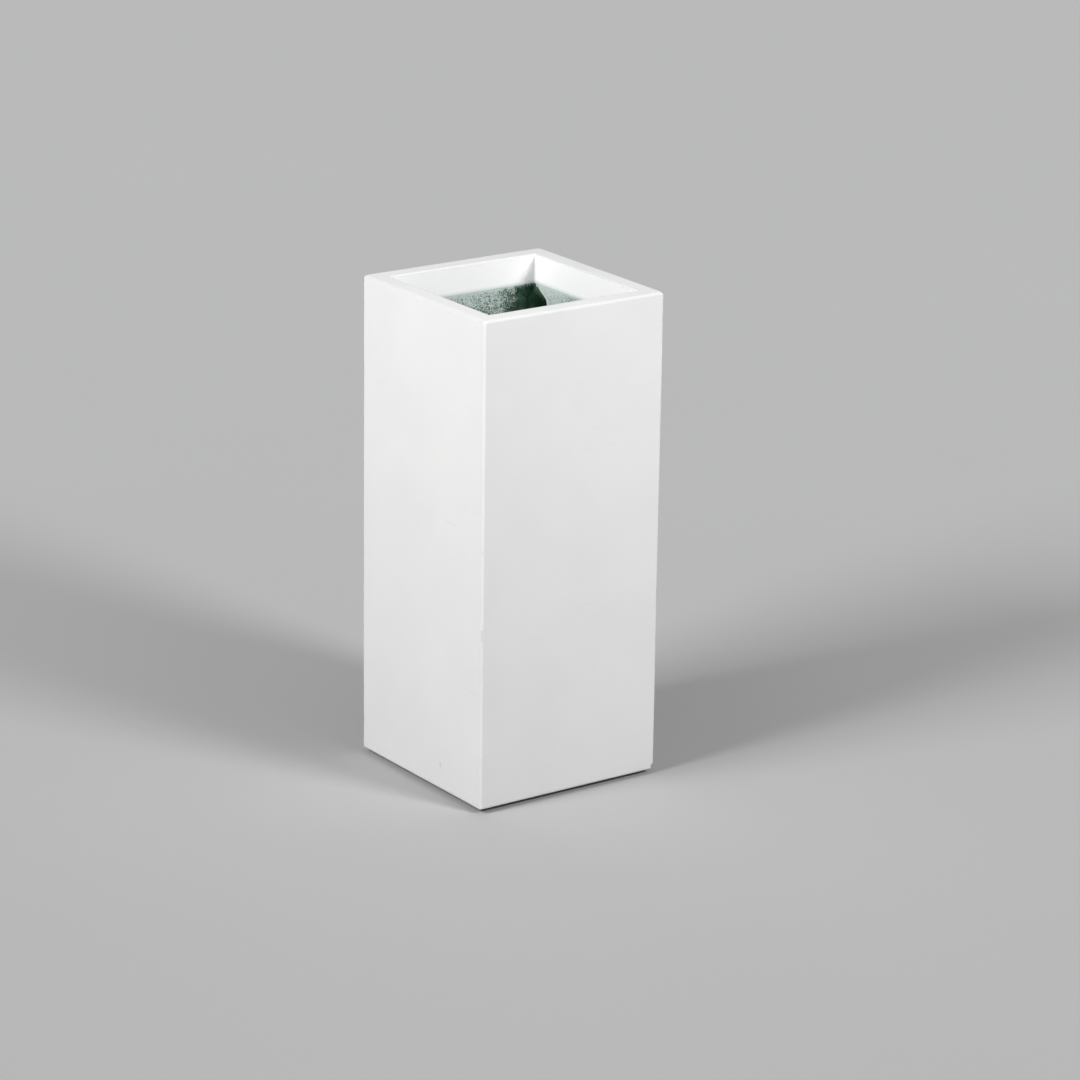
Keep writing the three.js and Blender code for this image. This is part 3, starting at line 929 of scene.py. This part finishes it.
# A stamped washer: rolled over on its lower edge, sharp with a wavering burr on its upper one.
def footWasher(corner, material):
    look = washerLook
    node = "foot_washer_" + corner
    box = nodeSizes(node)
    rows = [
        (look["inner"], box["bottom"], 0, 0.25 * mm), (look["outer"], box["bottom"], 0, 0.28 * mm),
        (look["outer"], box["top"], 0, 0.07 * mm), (look["inner"], box["top"], 0, 0.07 * mm),
    ]
    outline = roundedOutline(rows, [(0.25 * mm, 0.5 * mm, 0.5 * mm)] * len(rows), True, 4)

    def burr(angle, radius, tall):
        rim = softStep(radius, look["outer"] - 0.4 * mm, look["outer"])
        rim = rim * softStep(tall, box["top"] - 0.3 * mm, box["top"])
        return radius - rim * look["burr"] * (0.5 + 0.5 * np.sin(7 * angle) * np.sin(3 * angle + 1)), tall

    turnedPiece("stamped_washer_" + corner, node, outline, 96, material, "zinc_steel", burr)


screwLook = {
    "head": 4 * mm,
    "headHeight": 1.8 * mm,
    "face": 2.8 * mm,
    "shank": 1.94 * mm,
    "root": 1.46 * mm,
    "threadStart": 4.8 * mm,  # above the head's face
    "tip": 3 * mm,
    "pitch": 1.8 * mm,
    "slotLength": 2.1 * mm,
    "slotWidth": 0.48 * mm,
    "slotDepth": 1.0 * mm,
    "zinc": (0.56, 0.57, 0.585),
    "dull": (0.36, 0.365, 0.37),
}


# A pan-head screw, head down. Thread: the radius rises from root to shank where the height in
# pitches less the angle in turns is near a whole number. Recess: the head's face pushed up within
# two crossed bars that narrow towards their floor.
def footScrew(corner, material):
    look = screwLook
    node = "foot_screw_" + corner
    box = nodeSizes(node)
    face = box["bottom"]
    head = face + look["headHeight"]
    start = face + look["threadStart"]
    tip = box["top"] - look["tip"]
    rows = [
        (0, face, 0, 0), (look["face"], face, 0, 0.6 * mm), (look["head"], head - 0.75 * mm, 0, 0.5 * mm),
        (look["head"], head, 0, 0.15 * mm), (look["shank"], head, 0, 0.3 * mm),
        (look["shank"], start, 0, 0), (look["shank"], tip, 0, 0), (0, box["top"], 0, 0),
    ]
    runs = mm * np.array([(0.12, 0.12, 1)] * 2 + [(0.4, 0.6, 1)] * 3 + [(0.11, 0.11, 1)] * 3)
    outline = roundedOutline(rows, runs, False, 4)

    def cut(angle, radius, tall):
        turns = (tall - start) / look["pitch"] - angle / (2 * np.pi)
        ridge = 1 - 2 * np.abs(turns - np.round(turns))
        ridge = softStep(ridge, 0.30, 0.95)
        threaded = softStep(tall, start, start + look["pitch"]) * softStep(tall, box["top"], tip + 1.2 * mm)
        inTip = softStep(tall, tip - 0.2 * mm, box["top"])
        depth = (look["shank"] - look["root"]) * (1 - ridge) * (tall > start) * (1 - 0.6 * inTip)
        radius = np.maximum(radius - depth * np.maximum(threaded, tall > tip) * (radius > depth * 1.5), 0)
        x = np.abs(radius * np.cos(angle))
        y = np.abs(radius * np.sin(angle))
        recess = np.maximum(bar(x, y), bar(y, x)) * (tall < head - 0.7 * mm)
        return radius, tall + recess * look["slotDepth"]

    def bar(side, length):
        within = softStep(side, look["slotWidth"] + 0.12 * mm, look["slotWidth"] - 0.06 * mm)
        return within * softStep(length, look["slotLength"] + 0.1 * mm, look["slotLength"] - 0.5 * mm)

    turnedPiece("pan_head_screw_" + corner, node, outline, 96, material, "zinc_steel", cut, closed=False)


# Grey injection-moulded plastic: fine texture, lighter scuffs, silt in what looks up.
def greyPlastic():
    look = bushLook
    finish = newFinish("grey_moulded_plastic")
    point = finish.point()
    z = finish.axes(point)[2]
    cloud = finish.noise(point, 60, 3, 0.6)
    grain = finish.noise(point, 1900, 2, 0.6)
    scuffs = finish.ease(finish.noise(finish.scaled(point, (900, 90, 200)), 1, 3, 0.6), 0.62, 0.72)
    colour = finish.mix(scuffs * 0.5 + (cloud - 0.4) * 0.4, look["plastic"], look["scuffed"])
    top = nodeSizes("drain_bush")["top"]
    silt = finish.ease(finish.noise(point, 140, 4, 0.7), 0.45, 0.62)
    silt = finish.ease(z, top - 0.5 * mm, top - 0.1 * mm) * silt
    colour = finish.mix(silt * 0.55, colour, look["silt"])
    roughness = 0.42 + scuffs * 0.14 + silt * 0.35 + (cloud - 0.5) * 0.15
    return finish.surface(colour, roughness, grain * 0.4 + scuffs * 0.5 + silt * cloud, 0.00012)


# Soft black rubber: matt, with a grey bloom in patches, moulding grain and pale rubbed ridges.
def blackRubber(name, look, scale, lift):
    finish = newFinish(name)
    point = finish.point()
    cloud = finish.noise(point, scale, 4, 0.62)
    grain = finish.noise(point, 1500, 3, 0.6)
    specks = finish.ease(finish.noise(point, 700, 2, 0.5), 0.66, 0.74)
    patch = finish.ease(cloud, 0.42, 0.68) * lift
    colour = finish.mix(patch + specks * 0.35, look["rubber"], look["haze"])
    roughness = 0.62 + (cloud - 0.5) * 0.30 + specks * 0.15
    return finish.surface(colour, roughness, grain * 0.5 + cloud * 0.8, 0.00014)


# Zinc-plated steel: a bright spangle, turning marks, dull grey patches of white rust.
def zincSteel():
    look = screwLook
    finish = newFinish("zinc_plated_steel")
    point = finish.point()
    spangle = finish.node("ShaderNodeTexVoronoi", {}, {"Vector": point, "Scale": 900})
    marks = finish.noise(finish.scaled(point, (150, 150, 5200)), 1, 2, 0.5)
    cloud = finish.noise(point, 260, 4, 0.65)
    dull = finish.ease(cloud, 0.50, 0.66)
    colour = finish.mix(dull * 0.75 + spangle * 0.25, look["zinc"], look["dull"])
    roughness = 0.24 + dull * 0.32 + spangle * 0.12 + (marks - 0.5) * 0.10
    height = marks * 0.5 + dull * 0.6 + cloud * 0.3
    return finish.surface(colour, roughness, height, 0.00006, {"Metallic": 0.94})


plywoodLook = {
    "pale": (0.60, 0.43, 0.245),
    "dark": (0.37, 0.225, 0.105),
    "glue": (0.10, 0.055, 0.028),
    "plies": 9,
    "grainLength": 160 * mm,
    "grainWidth": 3.5 * mm,
}


# Birch plywood whose thickness lies along one axis (0, 1 or 2) and whose face grain runs along
# another. Face: long stretched noise. Edges: plies that turn dark where they are end grain.
def plywood(node, thick, grainAxis):
    look = plywoodLook
    finish = newFinish("plywood_" + node)
    low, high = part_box(node)
    point = finish.point()
    depth = (finish.axes(point)[thick] - low[thick]) / (high[thick] - low[thick])
    size = [look["grainWidth"]] * 3
    size[grainAxis] = look["grainLength"]
    stretch = tuple(1 / length for length in size)
    grain = finish.noise(finish.scaled(point, stretch), 1, 4, 0.6, 0.8)
    wide = tuple(value / 5 for value in stretch)
    figure = finish.noise(finish.scaled(point, wide), 1, 2, 0.5, 1.5)
    narrow = tuple(value * 3 for value in stretch)
    pores = finish.ease(finish.noise(finish.scaled(point, narrow), 1, 2), 0.60, 0.70)
    face = finish.mix(finish.ease(grain, 0.3, 0.7) * 0.6 + figure * 0.3, look["pale"], look["dark"])
    face = finish.mix(pores * 0.5, face, look["dark"])
    ply = depth * look["plies"]
    odd = finish.ease(abs((ply * 0.5).maths("FRACT") - 0.5), 0.20, 0.30)
    crumb = finish.noise(point, 900, 3, 0.7)
    edge = finish.mix(odd * 0.6 + crumb * 0.4 - 0.1, look["pale"], look["dark"])
    line = finish.ease(abs(ply.maths("FRACT") - 0.5), 0.44, 0.49)
    edge = finish.mix(line * 0.8, edge, look["glue"])
    within = finish.ease(abs(depth - 0.5), 0.499, 0.49)
    colour = finish.mix(within, face, edge)
    roughness = 0.66 + (grain - 0.5) * 0.2 + within * 0.12
    return finish.surface(colour, roughness, grain * 0.5 - pores * 0.6 + within * crumb, 0.0003)


# The underside panel: thin resin over glass mat, with white overspray along its edges and dust.
def undersideLaminate():
    look = laminateLook
    finish = newFinish("underside_glass_mat")
    point = finish.point()
    x, y = finish.axes(point)[:2]
    colour, height = glassMat(finish, point)[:2]
    colour = finish.mix(0.45, colour, look["underside"])
    grain = finish.noise(point, 380, 3, 0.7)
    half = shellBox["half"]
    border = finish.ease(abs(x).most(abs(y)) + (grain - 0.5) * 30 * mm, half - 32 * mm, half)
    spray = finish.ease(grain, 0.66 - border * 0.34, 0.74 - border * 0.30)
    colour = finish.mix(spray * 0.85, colour, look["dusting"])
    grit = finish.ease(finish.noise(point, 900, 3, 0.7), 0.62, 0.70)
    colour = finish.mix(grit * 0.5, colour, look["grit"])
    roughness = 0.42 + spray * 0.2 + grit * 0.25
    return finish.surface(colour, roughness, height + grit * 0.4 + spray * 0.2, 0.0006)


def wear(node, material):
    for slot in bpy.data.objects[node].material_slots:
        slot.material = material


addCamera(viewpoint)
for name, look in lamps.items():
    addLamp(name, look)

mouldedShell(whitePaint())
rawLining(rawLaminate())
drainBush(greyPlastic())
drainPlug(blackRubber("plug_rubber_soft", plugLook, 90, 0.7))
footRubber = blackRubber("foot_rubber_hard", footLook, 130, 0.5)
zinc = zincSteel()
for corner in footCorners:
    rubberFoot(corner, footRubber)
    footWasher(corner, zinc)
    footScrew(corner, zinc)
for node, thick in (("front", 1), ("back", 1), ("left", 0), ("right", 0)):
    wear("wall_board_" + node, plywood("wall_board_" + node, thick, 2))
wear("base_board", plywood("base_board", 2, 0))
wear("base_skin", undersideLaminate())
print("all pieces and finishes made")


floorLook = {
    "tone": 0.49,  # what the eye sees of it everywhere outside the shadows
    "palest": 0.62,  # its colour where the lamps hardly reach
    "bounce": 0.16,  # its colour as far as the light that it throws back is concerned
    "reach": 30,
}


# The tone that one lamp gives a white floor: power / pi^2 times height times facing / distance^4,
# where facing is how far in front of the lamp the place lies.
def lampLight(x, y, look):
    place = Vector(look["place"])
    axis = (lampTarget - place).normalized()
    across = x - place.x
    along = y - place.y
    facing = across * axis.x + along * axis.y - place.z * axis.z
    away = across * across + along * along + place.z ** 2
    return facing.most(0) * (look["power"] * place.z / np.pi ** 2) / (away * away)


# Pale and matt from above, clear from below. Its colour is darker where the lamps are near, and a
# glow that only the eye sees helps where they are far, so that it has one tone throughout.
def paleFloor():
    look = floorLook
    finish = newFinish("pale_studio_floor")
    point = finish.point()
    x, y = finish.axes(point)[:2]
    ambient = worldLook["ambient"][1]
    light = sum((lampLight(x, y, lamp) for lamp in lamps.values()), ambient)
    shade = (look["tone"] / light).least(look["palest"])
    seen = finish.seen()
    glow = (look["tone"] - light * shade).most(0) * seen
    grey = look["bounce"] + (shade * (0.98 + finish.noise(point, 0.9, 3) * 0.04) - look["bounce"]) * seen
    matt = finish.node("ShaderNodeBsdfDiffuse", {}, {"Color": grey})
    shine = finish.node("ShaderNodeEmission", {}, {"Color": glow})
    top = finish.node("ShaderNodeAddShader", {}, {0: matt, 1: shine})
    clear = finish.node("ShaderNodeBsdfTransparent", {}, {})
    below = finish.node("ShaderNodeNewGeometry", {}, {}, "Backfacing")
    return finish.finished(finish.node("ShaderNodeMixShader", {}, {0: below, 1: top, 2: clear}))


def addFloor(reach):
    corners = [(-reach, -reach, 0), (reach, -reach, 0), (reach, reach, 0), (-reach, reach, 0)]
    mesh = bpy.data.meshes.new("studio_floor")
    mesh.from_pydata(corners, [], [(0, 1, 2, 3)])
    mesh.materials.append(paleFloor())
    newObject("studio_floor", mesh)


def addWorld(look):
    world = bpy.data.worlds.new("soft_studio")
    bpy.context.scene.world = world
    finish = Finish(world)
    colour = finish.mix(finish.seen(), look["ambient"], look["seen"])
    finish.finished(finish.node("ShaderNodeBackground", {}, {"Color": colour}), "ShaderNodeOutputWorld")


addFloor(floorLook["reach"])
addWorld(worldLook)
bpy.context.scene.view_settings.view_transform = "Standard"
print("stage, lamps and world set")
